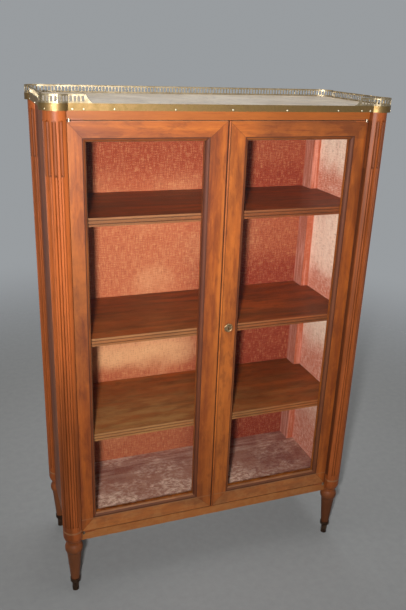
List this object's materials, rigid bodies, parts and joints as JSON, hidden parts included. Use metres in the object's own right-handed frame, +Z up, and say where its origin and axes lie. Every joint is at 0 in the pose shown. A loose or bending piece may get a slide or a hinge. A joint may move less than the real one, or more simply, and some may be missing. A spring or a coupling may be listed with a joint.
{
  "type": "glazed bookcase",
  "caption": "Tall bookcase with fluted corner columns on turned feet, hinged glass doors, loose shelves and a marble top inside a pierced brass gallery.",
  "frame": {"origin": "centre of the footprint, on the floor", "axes": "+Z up, the doors face -Y, +X to the right seen from the front"},
  "size_m": [0.913, 0.371, 1.412],
  "materials": {
    "mahogany": "french polished",
    "shelf_wood": "stained and waxed",
    "brass": "worn gilding",
    "dark_metal": "dark patina",
    "steel": "plain",
    "glass": "clear",
    "marble": "honed",
    "lining": "coarse woven"
  },
  "bodies": {
    "case": {"back_lining": "lining", "back_panel": "mahogany", "bottom_board": "mahogany", "bottom_rail": "mahogany", "case_pivots": "brass", "ferrules": "dark_metal", "floor_lining": "lining", "front_band": "brass", "front_left_post": "mahogany", "front_right_post": "mahogany", "gallery_back": "brass", "gallery_left": "brass", "gallery_right": "brass", "left_band": "brass", "left_side_panel": "mahogany", "left_wall_lining": "lining", "lower_shelf": "shelf_wood", "marble_top": "marble", "middle_shelf": "shelf_wood", "rear_left_post": "mahogany", "rear_post_linings": "lining", "rear_right_post": "mahogany", "right_band": "brass", "right_side_panel": "mahogany", "right_wall_lining": "lining", "shelf_cleats": "shelf_wood", "top_board": "mahogany", "top_rail": "mahogany", "upper_shelf": "shelf_wood"},
    "left_door": {"left_door_bottom_rail": "mahogany", "left_door_glass": "glass", "left_door_glazing_beads": "mahogany", "left_door_meeting_stile": "mahogany", "left_door_outer_stile": "mahogany", "left_door_pivots": "brass", "left_door_top_rail": "mahogany", "flush_bolt_plates": "brass"},
    "right_door": {"right_door_bottom_rail": "mahogany", "right_door_glass": "glass", "right_door_glazing_beads": "mahogany", "right_door_meeting_stile": "mahogany", "right_door_outer_stile": "mahogany", "right_door_pivots": "brass", "right_door_top_rail": "mahogany", "meeting_bead": "mahogany", "lock_case": "steel", "escutcheon": "brass"},
    "lock_bolt": {"lock_bolt": "steel"},
    "top_flush_bolt": {"top_flush_bolt": "steel"},
    "bottom_flush_bolt": {"bottom_flush_bolt": "steel"}
  },
  "joints": [
    {"name": "left_door_hinge", "type": "hinge", "parent": "case", "child": "left_door", "pos_m": [-0.391, -0.155, 0.778], "axis": [0, 0, -1], "range_deg": [0, 110]},
    {"name": "right_door_hinge", "type": "hinge", "parent": "case", "child": "right_door", "pos_m": [0.391, -0.155, 0.778], "axis": [0, 0, 1], "range_deg": [0, 110]},
    {"name": "lock_bolt_slide", "type": "slide", "parent": "right_door", "child": "lock_bolt", "axis": [-1, 0, 0], "range_m": [0, 0.008]},
    {"name": "top_flush_bolt_slide", "type": "slide", "parent": "left_door", "child": "top_flush_bolt", "axis": [0, 0, 1], "range_m": [0, 0.01]},
    {"name": "bottom_flush_bolt_slide", "type": "slide", "parent": "left_door", "child": "bottom_flush_bolt", "axis": [0, 0, -1], "range_m": [0, 0.01]}
  ]
}
